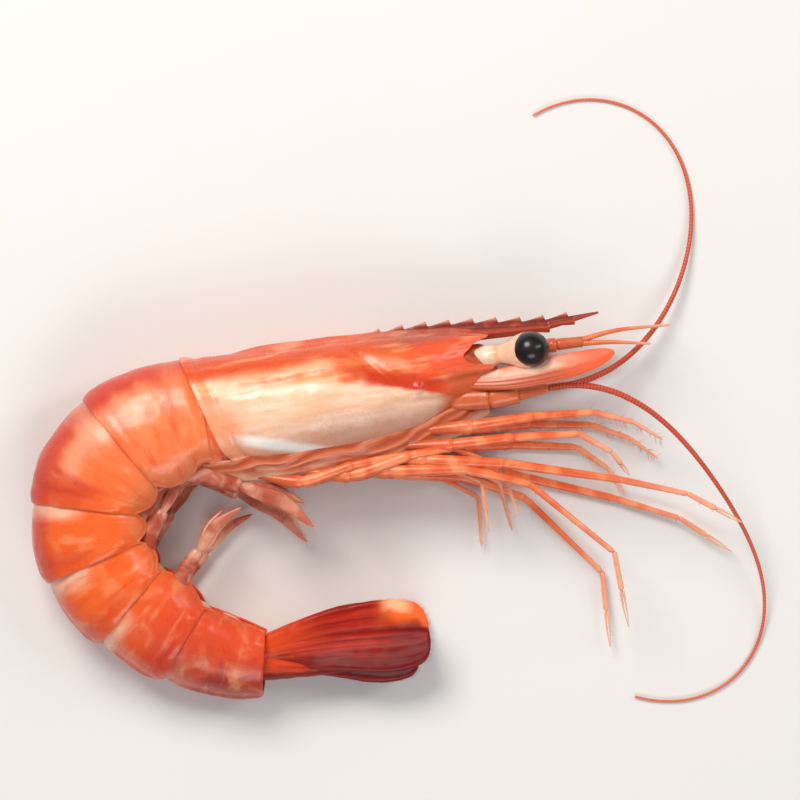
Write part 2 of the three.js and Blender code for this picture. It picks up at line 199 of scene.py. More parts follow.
def curve(points, count, even=True):
    """Points on a smooth curve through the given ones, evenly spaced or closer together at the ends."""
    points = np.array(points, float)
    far = run(points)
    share = np.linspace(0, 1, count)
    if not even:
        share = (1 - np.cos(math.pi * share)) / 2
    return np.stack([smooth(np.c_[far, points[:, i]], share * far[-1]) for i in range(3)], 1)


def frame_shift():
    """From the prawn's own frame to the row's frame, read off the right eye."""
    low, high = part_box("eye_right")
    return np.array((low + high) / 2) / MM - head_point(*EYE)


SHIFT = frame_shift()


# ---- building meshes

class Form:
    """Gathers skins and tubes, each a grid of points, into one mesh. Marks are named numbers for each point,
    each row or the whole grid."""

    def __init__(self):
        self.points, self.faces, self.marks, self.count = [], [], {}, 0

    def add(self, grid, around=True, ends=True, **marks):
        rows, columns = grid.shape[:2]
        index = self.count + np.arange(rows * columns).reshape(rows, columns)
        if around:
            index = np.c_[index, index[:, :1]]
        corners = index[:-1, :-1], index[:-1, 1:], index[1:, 1:], index[1:, :-1]
        faces = np.stack(corners, -1).reshape(-1, 4).tolist()
        points = [grid.reshape(-1, 3)]
        values = {}
        for name, value in marks.items():
            column = value[:, None] if np.ndim(value) == 1 else value
            values[name] = [np.broadcast_to(column, (rows, columns)).ravel()]
        if ends:
            for row in (0, -1):
                centre = self.count + rows * columns + len(points) - 1
                ring = index[row].tolist()
                pairs = zip(ring, ring[1:]) if row else zip(ring[1:], ring)
                faces += [(a, b, centre) for a, b in pairs]
                points.append(grid[row].mean(0)[None])
                for value in values.values():
                    value.append([value[0].reshape(rows, columns)[row].mean()])
        if facing(grid, around) < 0:
            faces = [face[::-1] for face in faces]
        self.faces += faces
        self.points += points
        self.count += sum(len(p) for p in points)
        for name, value in values.items():
            self.marks.setdefault(name, []).extend(value)


def facing(grid, around):
    """Positive where the faces of a grid already point away from the middle of its rows."""
    closed = np.concatenate([grid, grid[:, :1]], 1) if around else grid
    across = closed[:-1, 1:] - closed[:-1, :-1]
    along = closed[1:, :-1] - closed[:-1, :-1]
    out = closed[:-1, :-1] - grid[:-1].mean(1, keepdims=True)
    return np.sum(np.cross(across, along) * out)


def raised(grid, height):
    """The grid with each point moved out of its surface by a height."""
    normal = unit(np.cross(np.gradient(grid, axis=1), np.gradient(grid, axis=0)))
    out = grid - grid.mean(1, keepdims=True)
    return grid + normal * np.sign(np.sum(normal * out)) * np.asarray(height)[..., None]


def grain(grid, size, seed=0.0):
    """Smooth noise between about -1 and 1 at each point, with patches of a size."""
    points = grid.reshape(-1, 3) / size + seed
    return np.array([noise.noise(Vector(point)) for point in points]).reshape(grid.shape[:-1])


def settled(points):
    """Points no lower than the surface, eased up to it where the prawn's weight presses it flat."""
    SOFT, CLEAR = 0.12, 0.02
    low = points[:, 2] < 2
    points[low, 2] = CLEAR + SOFT * np.log1p(np.exp((points[low, 2] - CLEAR) / SOFT))
    return points


def placed(name, data):
    """A new object in the scene."""
    thing = bpy.data.objects.new(name, data)
    bpy.context.scene.collection.objects.link(thing)
    return thing


def piece(form, name, material, node="prawn", thick=0.0):
    """The form as an object that stands for a node. A thickness goes inwards, and makes the skin finer."""
    mesh = bpy.data.meshes.new(name)
    points = settled(np.concatenate(form.points))
    mesh.from_pydata(((points + SHIFT) * MM).tolist(), [], form.faces)
    for mark, values in form.marks.items():
        attribute = mesh.attributes.new(mark, "FLOAT", "POINT")
        attribute.data.foreach_set("value", np.concatenate(values).astype(np.float32))
    thing = placed(name, mesh)
    if thick:
        wall = thing.modifiers.new("wall", "SOLIDIFY")
        wall.thickness = thick * MM
        wall.offset = -1
        finer = thing.modifiers.new("finer", "SUBSURF")
        finer.levels = finer.render_levels = 1
        graph = bpy.context.evaluated_depsgraph_get()
        made = bpy.data.meshes.new_from_object(thing.evaluated_get(graph), depsgraph=graph)
        thing.modifiers.clear()
        thing.data = made
        bpy.data.meshes.remove(mesh)
        made.name = name
    thing.data.shade_smooth()
    thing.data.materials.clear()
    thing.data.materials.append(material)
    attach(thing, "root")
    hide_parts(node)


def skin_piece(name, material, slot, grid, node="prawn", **marks):
    """A piece that is one closed skin."""
    form = Form()
    form.add(grid, **marks)
    piece(form, name, material, node)


def shell_piece(name, material, slot, grid, **marks):
    """A piece that is one open skin with the shell's thickness."""
    form = Form()
    form.add(grid, around=False, ends=False, **marks)
    piece(form, name, material, thick=SHELL_THICK)


def tube(line, wide, thick=None, thin=UP, sides=16):
    """Oval rings round a line. thin is the direction of their short way."""
    way, across = rails(line, thin)
    through = np.cross(across, way)
    turn = turns(sides)
    wide = np.broadcast_to(wide, len(line))
    thick = wide if thick is None else np.broadcast_to(thick, len(line))
    return (line[:, None] + across[:, None] * (wide[:, None] * np.cos(turn))[..., None]
            + through[:, None] * (thick[:, None] * np.sin(turn))[..., None])


def rounded(count, end):
    """How a tube's width falls off to round ends."""
    share = (1 - np.cos(math.pi * np.linspace(0, 1, count))) / 2
    edge = np.clip(np.minimum(share, 1 - share) / end, 0, 1)
    return np.sqrt(np.maximum(1 - (1 - edge) ** 2, 0.02))


def hair(form, root, way, length, width, share):
    """A fine tapering bristle."""
    line = root + unit(way) * length * np.array([0, 0.35, 0.7, 1.0])[:, None]
    wide = width * np.array([1, 0.8, 0.5, 0.12])
    form.add(tube(line, wide, sides=3, thin=np.array([0.3, 0.2, 0.93])), share=share)


# ---- shell plates of the abdomen

def section(turn, back, belly, half, roundness, tuck=0.0, hollow=0.0, lobe=1.0):
    """The body's section: round over the back, steep at the sides, drawn in and hollow at the belly."""
    above = np.cos(turn) >= 0
    power = np.where(above, 2 / 2.2, 2 / roundness)
    a = np.abs(np.cos(turn)) ** power
    c = np.abs(np.sin(turn)) ** power
    up = np.where(above, back * a, -belly * a * mix(1 - hollow, lobe, c ** 1.2))
    side = np.sign(np.sin(turn)) * half * c * np.where(above, 1, 1 - tuck * a * a)
    return up, side


def abdomen_skin(place, turn, lift, lobe):
    """Points of the abdomen's skin, and how far each is towards the back."""
    up, side = section(turn, smooth(BACK, place) + lift, smooth(BELLY, place) + 0.4 * lift,
                       smooth(HALF_WIDTH, place) + 0.6 * lift, 2.9, 0.3, 0.26, lobe)
    return at(spine(place), 0, up, side), up


# How strong the pale patch behind its front edge and the red before its rear edge are on each plate.
PALE = (0, 0.15, 0.35, 1.0, 1.0, 0.9, 0.15)
REDDENED = (0, 0.35, 1.0, 0.75, 0.6, 1.0, 0.5)


def plate(index, material):
    """One of the six shell plates. Its front is tucked under the plate before, its rear edge stands over the
    next, and its side lobes are rounded."""
    ROWS, COLUMNS = 34, 84
    start, (length, _) = STARTS[index], RINGS[index]
    lip = 0.4 if index == 6 else PLATE_LIP
    share = np.linspace(-0.24, 1 + lip / length, ROWS)[:, None]
    inside = np.clip(share, 0, 1)
    rounding = np.sin(math.pi * np.clip(mix(0.06, 0.94, inside), 0, 1)) ** 0.6
    reach = np.radians(mix(118, 151, rounding))
    turn = reach * np.linspace(-1, 1, COLUMNS)
    place = start + share * length
    lift = SHELL_STEP * smoothstep(share, 0, 1) - 0.1 - 0.5 * smoothstep(-share, 0, 0.24)
    lift = lift - 0.3 * smoothstep(share, 1 + 0.1 * lip / length, 1 + lip / length)
    grid, up = abdomen_skin(place, turn, lift, 0.92 if index == 6 else 0.8 + 0.2 * rounding)
    away = np.abs(turn)
    carina = 0.5 * bell(turn, 0, 0.1) * smoothstep(place, 22, 36) * window(share, 0.1, 0.98, 0.08)
    facet = 0.1 * smoothstep(share, 0.12, 0.24) - 0.04 * bell(share, 0.27, 0.05)
    rim = 0.05 * smoothstep(share, 0.93, 0.96) - 0.04 * bell(share, 0.915, 0.025)
    knob = 0.3 * bell(away, 1.75, 0.09) * bell(share, 0.95, 0.07)
    hem = 0.1 * smoothstep(away / reach, 0.955, 0.975) - 0.07 * bell(away / reach, 0.94, 0.015)
    waves = 0.2 * grain(grid, 4.5, index) + 0.07 * grain(grid, 1.6, index + 5.0)
    scar = -0.16 * bell(away, 1.5, 0.05) * window(share, 0.25, 0.8, 0.1) * (index == 6)
    grid = raised(grid, carina + facet + rim + knob + hem + waves + scar)
    shell_piece(f"plate_{index}", material, "shell", grid, front=share, place=place, up=up,
                pale=PALE[index], red=REDDENED[index])


def flesh(material):
    """The flesh under the plates, with a bar across the belly at each ring and folds of skin between."""
    ROWS, SIDES, END = 190, 72, ABDOMEN_LENGTH + 0.6
    place = np.linspace(-3, END, ROWS)[:, None]
    turn = turns(SIDES)[None]
    stub = smoothstep(place, END - 2, END)
    grid, _ = abdomen_skin(place, turn, -0.62 - 2.6 * stub ** 2, 0.84)
    ring = np.clip(np.searchsorted(STARTS, place) - 1, 0, len(RINGS) - 1)
    share = (place - np.array(STARTS)[ring]) / np.array([length for length, _ in RINGS])[ring]
    below = smoothstep(-np.cos(turn), 0.55, 0.9)
    bars = 0.75 * bell(share, 0.5, 0.16) * below
    skin_folds = 0.3 * below * np.abs(np.sin(9 * share)) * bell(share, 0.5, 0.9)
    neck = 0.1 * np.sin(place * 5) * (1 - smoothstep(place, 2, 6))
    skin_piece("flesh", material, "shell", raised(grid, bars - skin_folds + neck + 0.12 * grain(grid, 1.8)),
               below=below * (1 - stub))


# ---- head shell and beak

SLANT = 0.27  # how the rear edge of the head shell slants
CORNER = 0.17  # how it rounds forwards at the belly


def head_shell(material):
    """The head shell: a saddle open below, with its grooves, ridges and spines."""
    ROWS, COLUMNS = 124, 98
    place = np.linspace(2.2, -HEAD_LENGTH, ROWS)[:, None]
    forward = -place
    reach = np.radians(mix(140, 152, smoothstep(forward, -2, 8) * (1 - smoothstep(forward, 24, 36))))
    turn = reach * np.linspace(-1, 1, COLUMNS)
    sweep = 1 - smoothstep(forward, -2, 14)
    up, side = section(turn, smooth(BACK, place + 2 * sweep), 1.09 * smooth(CHEEK, place),
                       smooth(HALF_WIDTH, place), 2.4, 0.2)
    rear = -sweep * (SLANT * up - CORNER * np.minimum(up + 3, 0) ** 2)
    front = smoothstep(forward, 25, HEAD_LENGTH) * (
        2.2 * smoothstep(up, 4.2, 5.4) - 1.6 * bell(up, 2.9, 1.0) + 2.6 * bell(up, 1.0, 0.42)
        - 3.4 * smoothstep(-up, 0.8, 4.4))
    grid = head_point(forward + rear + front, up, side)
    away = np.abs(turn)
    neckline = 24.5 - 0.85 * (up + 1)  # it slants up and back from the cheek
    neck_groove = -0.42 * bell(forward, neckline, 0.75) * window(up, -0.8, 6.2, 0.8)
    cheek_groove = -0.34 * bell(up, -1.7 - 0.1 * (forward - 24), 0.5) * window(forward, 22.5, 31, 1.2)
    eye_ridge = 0.3 * bell(up, 1.0, 0.5) * window(forward, 26, 36, 1.5)
    liver_spine = 0.75 * bell(up, -0.1, 0.45) * bell(forward, 25.8, 0.6)
    side_groove = -0.2 * bell(up, 3.4 + 0.05 * forward, 0.5) * window(forward, 3, 15, 2)
    swell = 0.4 * bell(forward, 12, 7) * bell(up, -0.8, 3.6)
    crest = 0.55 * bell(turn, 0, 0.1) * window(forward, 5, 38, 3)
    crest_grooves = -0.26 * bell(away, 0.33, 0.07) * window(forward, 7, 32, 3)
    rear_rim = 0.2 * smoothstep(place, 0.6, 1.5) - 0.15 * bell(place, 0.2, 0.4)
    hem = 0.16 * smoothstep(away / reach, 0.965, 0.98) - 0.14 * bell(away / reach, 0.95, 0.012)
    waves = 0.13 * grain(grid, 4.0, 3.0) + 0.05 * grain(grid, 1.3, 9.0)
    height = (neck_groove + cheek_groove + eye_ridge + liver_spine + side_groove + swell + crest
              + crest_grooves + rear_rim + hem + waves)
    shell_piece("head_shell", material, "cheek", raised(grid, height), forward=forward, up=up)


ROSTRUM_TIP = HEAD_LENGTH + ROSTRUM_REACH
TEETH, PITCH, TOOTH = 9, 3.1, 0.65  # teeth along the top, how far apart and how high
LOWER_TEETH = (42.5, 46.0)
FIRST_TOOTH = ROSTRUM_TIP - 4 - TEETH * PITCH


def rostrum(material):
    """The beak: a thin blade along the ridge of the head shell, with teeth on both edges and ribbed sides."""
    ROWS, SIDES, RISE = 420, 32, 0.84  # RISE is the share of a tooth that slopes up
    forward = np.linspace(FIRST_TOOTH - 7, ROSTRUM_TIP, ROWS)[:, None]
    count = (forward - FIRST_TOOTH) / PITCH
    phase = count % 1
    tooth = TOOTH * np.where(phase < RISE, (phase / RISE) ** 1.5, (1 - phase) / (1 - RISE))
    tooth = tooth * ((count > 0) & (count < TEETH))
    top = smooth([(FIRST_TOOTH, 7.9), (26, 7.9), (34, 7.2), (43, 6.0), (ROSTRUM_TIP, 5.8)], forward)
    top = top - 0.5 * (1 - smoothstep(forward, FIRST_TOOTH - 7, FIRST_TOOTH))
    under = smooth([(FIRST_TOOTH, 5.8), (26, 5.4), (34, 4.8), (43, 4.5), (ROSTRUM_TIP, 5.5)], forward)
    for foot in LOWER_TEETH:
        under = under - 0.4 * np.clip((forward - foot) / 1.6, 0, 1) * (forward < foot + 1.75)
    turn = turns(SIDES)[None]
    level = 0.5 + 0.5 * np.cos(turn)
    crest = smoothstep(level, 0.88, 1.0)
    rib = mix(1.2, 0.12, smoothstep(forward, 27, ROSTRUM_TIP)) * bell(level, 0.36, 0.2)
    edge = mix(0.4, 0.1, smoothstep(forward, 20, ROSTRUM_TIP)) * (1 - 0.6 * level)
    side = np.sign(np.sin(turn)) * (rib + edge) * np.abs(np.sin(turn)) ** 0.55
    grid = head_point(forward + 0.5 * tooth * crest, mix(under, top, level) + tooth * crest, side)
    skin_piece("rostrum", material, "shell", grid, level=level, tooth=tooth / TOOTH * crest,
               forward=forward)


def breast(material):
    """The breast and mouth under the head shell, that carry the legs."""
    ROWS, SIDES = 130, 120
    SLOPE, PITCH_OF_FOLDS = 0.14, 1.3  # the folds of the legs' bases slant forwards
    stations = [(-4, -2, -7.4, 4.2), (2, -2, -8.9, 4.9), (10, -2, -9.9, 4.9), (21, -2, -9.7, 4.4),
                (28, -1, -7.8, 3.6), (34, 0, -5.2, 2.6)]
    forward, top, bottom, half = np.array(stations).T
    place = np.linspace(-4, 34.5, ROWS)
    high, low, wide = (smooth(np.c_[forward, edge], place) for edge in (top, bottom, half))
    grid = tube(head_point(place, (high + low) / 2, 0), (high - low) / 2 * 0.98, wide, sides=SIDES)
    below = -(grid - grid.mean(1, keepdims=True)) @ HEAD[2] / ((high - low) / 2)[:, None]
    plates = 0.14 * np.sin(place * 1.3)[:, None] * smoothstep(below, 0.4, 0.9)
    slant = 3.8 * below + SLOPE * place[:, None] + 0.8 * grain(grid, 3.0)
    folds = np.cos(2 * math.pi * slant / PITCH_OF_FOLDS) * window(below, -0.8, 0.5, 0.2)
    skin_piece("breast", material, "cheek", raised(grid, plates + 0.06 * folds + 0.08 * grain(grid, 2.5)),
               fold=0.5 + 0.5 * folds, below=below)


def face(material):
    """What shows inside the front of the head shell, between the eyes and the mouth."""
    ROWS, SIDES, REAR, FRONT = 70, 64, -16, -36.6
    place = np.linspace(REAR, FRONT, ROWS)[:, None]
    held = np.maximum(place, -HEAD_LENGTH)
    close = np.sqrt(np.clip(1 - ((held - place) / 2.9) ** 2, 0, 1))
    turn = turns(SIDES)[None]
    up, side = section(turn, (smooth(BACK, held) - 1.0) * close, (smooth(CHEEK, held) - 0.5) * close,
                       (smooth(HALF_WIDTH, held) - 0.7) * close, 2.4, 0.2)
    grid = head_point(-place, up, side)
    skin_piece("face", material, "cheek", raised(grid, 0.2 * grain(grid, 1.6)))


# ---- eyes and feelers

def eyes(material, stalk_material):
    """The black beads, each a little flattened, on their stalks."""
    ROWS, SIDES, POLE = 32, 48, 0.03
    turn = turns(SIDES)
    drop = np.linspace(POLE, math.pi - POLE, ROWS)[:, None]
    ball = np.stack([np.sin(drop) * np.cos(turn), np.sin(drop) * np.sin(turn), np.cos(drop) + 0 * turn], -1)
    for side, hand in HANDS.items():
        grid = head_point(*EYE[:2], EYE[2] * hand) + ball * np.array([1.0, 0.94, 1.0]) * EYE_RADIUS
        skin_piece(f"eye_{side}_bead", material, "eye", grid, node=f"eye_{side}")
        eye_stalk(side, hand, stalk_material)


def eye_stalk(side, hand, material):
    """A stalk from beside the beak, waisted, with a cup that holds the eye."""
    COUNT = 44
    share = np.linspace(0, 1, COUNT)
    line = head_line([(33, 2.2, 1.0), (36.5, 2.4, 2.2), (39.2, 2.4, 3.4), (41.0, 2.4, 4.25)], hand, COUNT)
    wide = 1.25 + 0.35 * bell(share, 0.3, 0.16) + 1.12 * smoothstep(share, 0.5, 0.95)
    grid = tube(line, wide, 0.94 * wide, sides=40)
    skin_piece(f"eye_stalk_{side}", material, "limb", raised(grid, 0.08 * grain(grid, 0.8)), share=share,
               joint=bell(share, 0.5, 0.06))


def antennal_scale(side, hand, material, hairs):
    """The leaf-shaped blade under the eye, with ribs along it and a fringe."""
    COUNT, SIDES = 90, 48
    line = head_line([(32, -0.4, 3.0), (37, -0.8, 4.2), (43, -0.7, 4.5), (48.5, -0.3, 4.3), (52, 0.2, 4.0)],
                     hand, COUNT)
    share = np.linspace(0, 1, COUNT)
    wide = smooth([(0, 1.1), (0.25, 1.7), (0.55, 1.95), (0.82, 1.6), (0.95, 0.95), (1, 0.3)], share)
    thin = unit(np.array([0.1, 0.55, 0.83 * hand]))
    grid = tube(line, wide, mix(0.5, 0.16, share), thin, SIDES)
    across = np.cos(turns(SIDES))[None]
    ribs = 0.16 * bell(across, 0.1, 0.1) + 0.07 * bell(across, 0.45, 0.07) + 0.16 * bell(across, 0.85, 0.1)
    skin_piece(f"antennal_scale_{side}", material, "cheek", raised(grid, ribs * (1 - share[:, None]) ** 0.3),
               across=across * hand, share=share)
    way, edge = rails(line, thin)
    for i in np.linspace(26, COUNT - 2, 70).astype(int):
        out = -edge[i] if np.dot(edge[i], HEAD[2]) > 0 else edge[i]
        hair(hairs, line[i] + out * wide[i] * 0.97, out + 0.9 * way[i], random.uniform(0.6, 1.0), 0.03, 0.8)


def antennule(side, hand, material):
    """The inner feeler: three stout joints between the eyes, and two short ringed whips."""
    form = Form()
    joints = [(33, 2.2, 1.4), (39, 2.6, 1.7), (45, 2.4, 1.9), (48.4, 2.2, 2.0)]
    for i, width in enumerate([1.3, 1.1, 0.82]):
        segment(form, head_line(joints[i:i + 2], hand, 16), width, 0.82 * width)
    upper = [(47.5, 2.4, 2.0), (53, 2.9, 2.4), (60, 2.4, 2.6)]
    lower = [(47.5, 2.1, 2.0), (52, 1.5, 2.2), (57, 0.4, 2.1)]
    for path in (upper, lower):
        lash(form, head_line(path, hand, 220), 0.42, 0.13, 0.36)
    piece(form, f"antennule_{side}", material)


def lash(form, line, thick, thin, ring):
    """A whip with a fine bead at each of its short rings."""
    far = run(line)
    share = far / far[-1]
    bead = np.cos(2 * math.pi * far / ring)
    wide = mix(thick, thin, share ** 0.8) * (1 + 0.045 * bead)
    form.add(tube(line, wide, sides=8), share=share, joint=0.5 + 0.5 * bead)


FEELER_ROOT = (42.5, -3.0, 3.0)
# Length, first heading, turn and wave of each long feeler, and between which shares of its length it sinks.
WHIPS = {"right": (70, -2, -190, -16, (0.2, 0.75)), "left": (64, -4, 200, 8, (0.05, 0.6))}
WHIP_WAVES = 2.6  # half turns of the wave along a whip
WHIP_STEPS = 36
WHIP_REST = 0.35  # height of the middle of a whip where it lies on the surface


def feeler(side, hand, material, root_material):
    """The long feeler, from its stout joints until it lies on the surface."""
    roots = Form()
    tip = (FEELER_ROOT[0] + 0.25, *FEELER_ROOT[1:])
    joints = [(30, -2.4, 2.4), (35, -3.0, 3.0), (38.8, -3.0, 3.2), tip]
    for i, width in enumerate([1.7, 1.6, 1.1]):
        segment(roots, head_line(joints[i:i + 2], hand, 18), width, 0.86 * width if i < 2 else 0.6)
    piece(roots, f"feeler_root_{side}", root_material)
    length, start, turn, wave, sink = WHIPS[side]
    share = np.linspace(0, 1, WHIP_STEPS + 1)
    heading = np.radians(start + turn * share ** 1.15 + wave * np.sin(WHIP_WAVES * math.pi * share))[:-1]
    forward = FEELER_ROOT[0] + 0.3 + np.r_[0, np.cumsum(length / WHIP_STEPS * np.cos(heading))]
    up = FEELER_ROOT[1] + np.r_[0, np.cumsum(length / WHIP_STEPS * np.sin(heading))]
    out = mix(FEELER_ROOT[2] * hand, WHIP_REST - HEAD_HEIGHT, smoothstep(share, *sink))
    form = Form()
    lash(form, curve(head_point(forward, up, out), 900), 0.46, 0.14, 0.45)
    piece(form, f"feeler_{side}_whip", material, node=f"feeler_{side}")


# ---- legs

# Root on the head, girth, and length and heading of each joint, as seen from the side.
LEGS = [
    ((28, -5.0), 1.1, (4.2, 8.0, 8.0, 5.5, 4.6), (-17, -1, -6, -24, -41)),
    ((25, -6.5), 1.1, (4.4, 8.0, 8.6, 5.1, 3.8), (-23, -3, -7, -39, -63)),
    ((21, -7.0), 1.2, (4.8, 10.2, 15.7, 9.2, 8.2), (-33, -12, -18, -22, -38)),
    ((16.5, -7.2), 1.2, (4.6, 10.1, 8.7, 14.5, 10.0), (-41, -8, -23, -49, -89)),
    ((12, -7.4), 1.15, (4.0, 8.1, 6.0, 6.9, 6.7), (-41, 10, 0, -33, -80)),
    ((7, -7.2), 1.1, (3.0, 7.1, 8.0, 9.9, 6.6), (-60, 10, 1, -32, -92)),
]
LEG_TAPER = (1, 0.95, 0.74, 0.52, 0.38, 0.2)
LEG_SLIM = 0.76  # the legs are this much slimmer than their solids
LEG_SPREAD = {"root": 2.8, "bulge": 2.2, "sink": {"right": 1.4, "left": 2.6}, "lag": {"right": 0, "left": -5}}
LEG_STEPS = 24  # points along each joint
LEG_SINK = (-4.0, -0.6, 2.9)  # ahead, up and out from its root, where a leg starts inside the breast
PINCERS = (1, 2, 3)
BRISTLED = 0  # the foremost pair is the most bristly
MANY, FEW = (22, 1.3), (6, 0.7)  # bristles on each joint, and their length


def segment(form, line, first, last, reach=(0.0, 0.0)):
    """One joint of a limb. It starts inside the joint before it and ends in a slightly wider cup. reach is
    where along the whole limb it starts and ends."""
    line = np.concatenate([line[:1] - unit(line[1] - line[0]) * 0.6 * first, line])
    share = np.linspace(0, 1, len(line))
    ends = np.sqrt(np.clip(np.minimum(share / 0.06, (1 - share) / 0.03), 0.06, 1))
    wide = mix(0.97 * first, last, share) * (1 + 0.06 * smoothstep(share, 0.85, 0.96)) * ends
    form.add(tube(line, wide, 0.88 * wide), share=mix(*reach, share), joint=bell(share, 0.97, 0.04))


def leg_lines(number, side):
    """The middle line of each joint of a leg."""
    (forward, up), _, lengths, headings = LEGS[number]
    total, gone, lines = sum(lengths), 0, []
    share = np.linspace(0, 1, LEG_STEPS)
    for length, heading in zip(lengths, headings):
        angle = math.radians(heading + LEG_SPREAD["lag"][side])
        far = (gone + share * length) / total
        out = LEG_SPREAD["root"] + LEG_SPREAD["bulge"] * np.sin(math.pi * far ** 0.7)
        ahead, rise = length * math.cos(angle), length * math.sin(angle)
        lines.append(head_point(forward + share * ahead, up + share * rise,
                                out * HANDS[side] - LEG_SPREAD["sink"][side] * far))
        forward, up, gone = forward + ahead, up + rise, gone + length
    return lines


def leg(number, side, material, hairs):
    """One skin from the root to the last joint, drawn in at each joint and rounded at each bend."""
    form = Form()
    (forward, up), girth, lengths, _ = LEGS[number]
    lines = leg_lines(number, side)
    clawed = number in PINCERS
    joints = np.r_[0, np.cumsum(lengths)]
    root = head_point(forward + LEG_SINK[0], up + LEG_SINK[1], LEG_SINK[2] * HANDS[side])
    lines[0] = np.linspace(root, lines[0][-1], LEG_STEPS)
    skin = lines[:len(lines) - clawed]
    line = np.concatenate([*[each[:-1] for each in skin], skin[-1][-1:]])
    for _ in range(3):
        line[1:-1] = (line[:-2] + 2 * line[1:-1] + line[2:]) / 4
    # The first bend is the roundest.
    bend = np.clip(1.8 - np.arange(len(line) - 2) / LEG_STEPS, 0, 1)[:, None]
    for _ in range(40):
        line[1:-1] += bend * ((line[:-2] + line[2:]) / 2 - line[1:-1]) / 2
    far = run(line)
    far = far - far[LEG_STEPS - 1] + lengths[0]
    girth = girth * LEG_SLIM
    wide = girth * np.interp(far, joints, LEG_TAPER) * mix(0.5, 1, smoothstep(far, far[0], 0.5 * lengths[0]))
    for joint in joints[1:-1]:
        wide = wide * (1 + 0.1 * bell(far, joint - 0.7, 0.5) - 0.14 * bell(far, joint + 0.1, 0.3))
    wide = wide * np.sqrt(np.clip((far[-1] - far) / (0.2 if clawed else 0.8), 0.1, 1))
    rims = sum(bell(far, joint, 0.25) for joint in joints[1:-1])
    form.add(tube(line, wide, 0.9 * wide), share=far / joints[-1], joint=rims)
    if clawed:
        pincer(form, lines[-1], girth * LEG_TAPER[-2])
    for i in range(1, len(lines)):
        bristles(hairs, lines[i], girth * LEG_TAPER[i], *(MANY if number == BRISTLED else FEW))
    piece(form, f"leg_{side}_{number}", material)


def pincer(form, line, girth):
    """A palm and two thin fingers that close on each other."""
    palm = len(line) // 2
    segment(form, line[:palm + 1], girth, 1.1 * girth, reach=(0.85, 0.92))
    way = unit(line[-1] - line[0])
    across = unit(np.cross(way, UP))
    share = np.linspace(0, 1, len(line) - palm)
    for hand in (1, -1):
        offset = hand * girth * (0.5 * (1 - share) + 0.3 * np.sin(math.pi * share))
        finger = curve(line[palm:] + across * offset[:, None], 16)
        form.add(tube(finger, girth * mix(0.5, 0.12, np.linspace(0, 1, 16)), sides=8), share=1.0, joint=0.0)


def bristles(hairs, line, girth, count, length):
    way = unit(line[-1] - line[0])
    down = unit(-HEAD[2] - way * np.dot(-HEAD[2], way))
    for _ in range(count):
        spot = line[random.randrange(1, len(line) - 1)]
        out = unit(random.choice((1, 1, -0.6)) * down + random.uniform(-0.8, 0.8) * UP)
        hair(hairs, spot + 0.8 * girth * out, out + way * random.uniform(0.5, 1.2),
             length * random.uniform(0.5, 1.0), 0.03, 0.5)


# ---- swimmerets

SWIMMERET = {"root": 6.4, "outer": 11.0, "inner": 8.5, "side": 3.4, "sweeps": (52, 58, 50, 32, 8)}


def swimmeret(index, side, material, hairs):
    """A flat paddle on a stout root, with an outer and an inner blade fringed with bristles."""
    ROOT_STEPS, BLADE_STEPS, SIDES = 30, 40, 24
    hand = HANDS[side]
    place = STARTS[index + 1] + 0.5 * RINGS[index + 1][0]
    size = mix(1, 0.72, index / 4)
    axes = spine(place)
    _, tail, back = axes
    belly = float(smooth(BELLY, place))
    sweep = math.radians(SWIMMERET["sweeps"][index] - (7 if side == "left" else 0))
    way = lambda extra: -back * math.cos(sweep + extra) - tail * math.sin(sweep + extra)
    start = at(axes, 0, -0.55 * belly, SWIMMERET["side"] * hand)
    knee = at(axes, 0, -0.6 * belly, SWIMMERET["side"] * hand)
    knee = knee + way(0) * (SWIMMERET["root"] + 0.3 * belly) * size
    form = Form()
    share = np.linspace(0, 1, ROOT_STEPS)
    wide = size * smooth([(0, 1.25), (0.4, 1.4), (0.75, 1.2), (1, 0.9)], share) * rounded(ROOT_STEPS, 0.08)
    line = curve([start, mix(start, knee, 0.5) + 0.35 * way(1.57), knee], ROOT_STEPS, even=False)
    grid = tube(line, wide, 0.6 * wide, sides=SIDES)
    form.add(raised(grid, 0.05 * grain(grid, 1.4)), share=0.4 * share, joint=bell(share, 1, 0.1))
    blades = ((SWIMMERET["outer"] * size, -0.1, 0.3 * hand, 1.0 * size),
              (SWIMMERET["inner"] * size, 0.15, -0.6 * hand, 0.75 * size))
    for length, extra, lift, width in blades:
        middle = knee + way(extra) * 0.5 * length + UP * lift
        tip = middle + way(extra - 0.35) * 0.5 * length + UP * lift
        blade = curve([knee - way(0) * 0.6, mix(knee, middle, 0.5), middle, tip], BLADE_STEPS)
        along = np.linspace(0, 1, BLADE_STEPS)
        wide = width * smooth([(0, 0.55), (0.3, 1.0), (0.6, 0.9), (0.9, 0.42), (1, 0.12)], along)
        rib = 0.13 * bell(np.cos(turns(SIDES))[None], 0, 0.16) * (1 - along[:, None])
        grid = raised(tube(blade, wide, mix(0.34, 0.12, along), sides=SIDES), rib)
        form.add(grid, share=0.5 + 0.5 * along, joint=bell(along, 0, 0.06))
        fringe(hairs, blade, wide, 26, 1.2 * size, 0.8)
    piece(form, f"swimmeret_{side}_{index + 1}", material)


def fringe(hairs, line, wide, count, length, share):
    """Bristles along both edges of a blade, swept towards its tip."""
    way, across = rails(line)
    for i in np.linspace(len(line) * 0.3, len(line) - 1, count).astype(int):
        for hand in (1, -1):
            out = hand * across[i]
            lean = 0.75 * out + way[i] + random.uniform(-0.2, 0.2) * UP
            hair(hairs, line[i] + out * wide[i] * 0.92, lean, length * random.uniform(0.6, 1.0), 0.03,
                 share)


# ---- tail fan

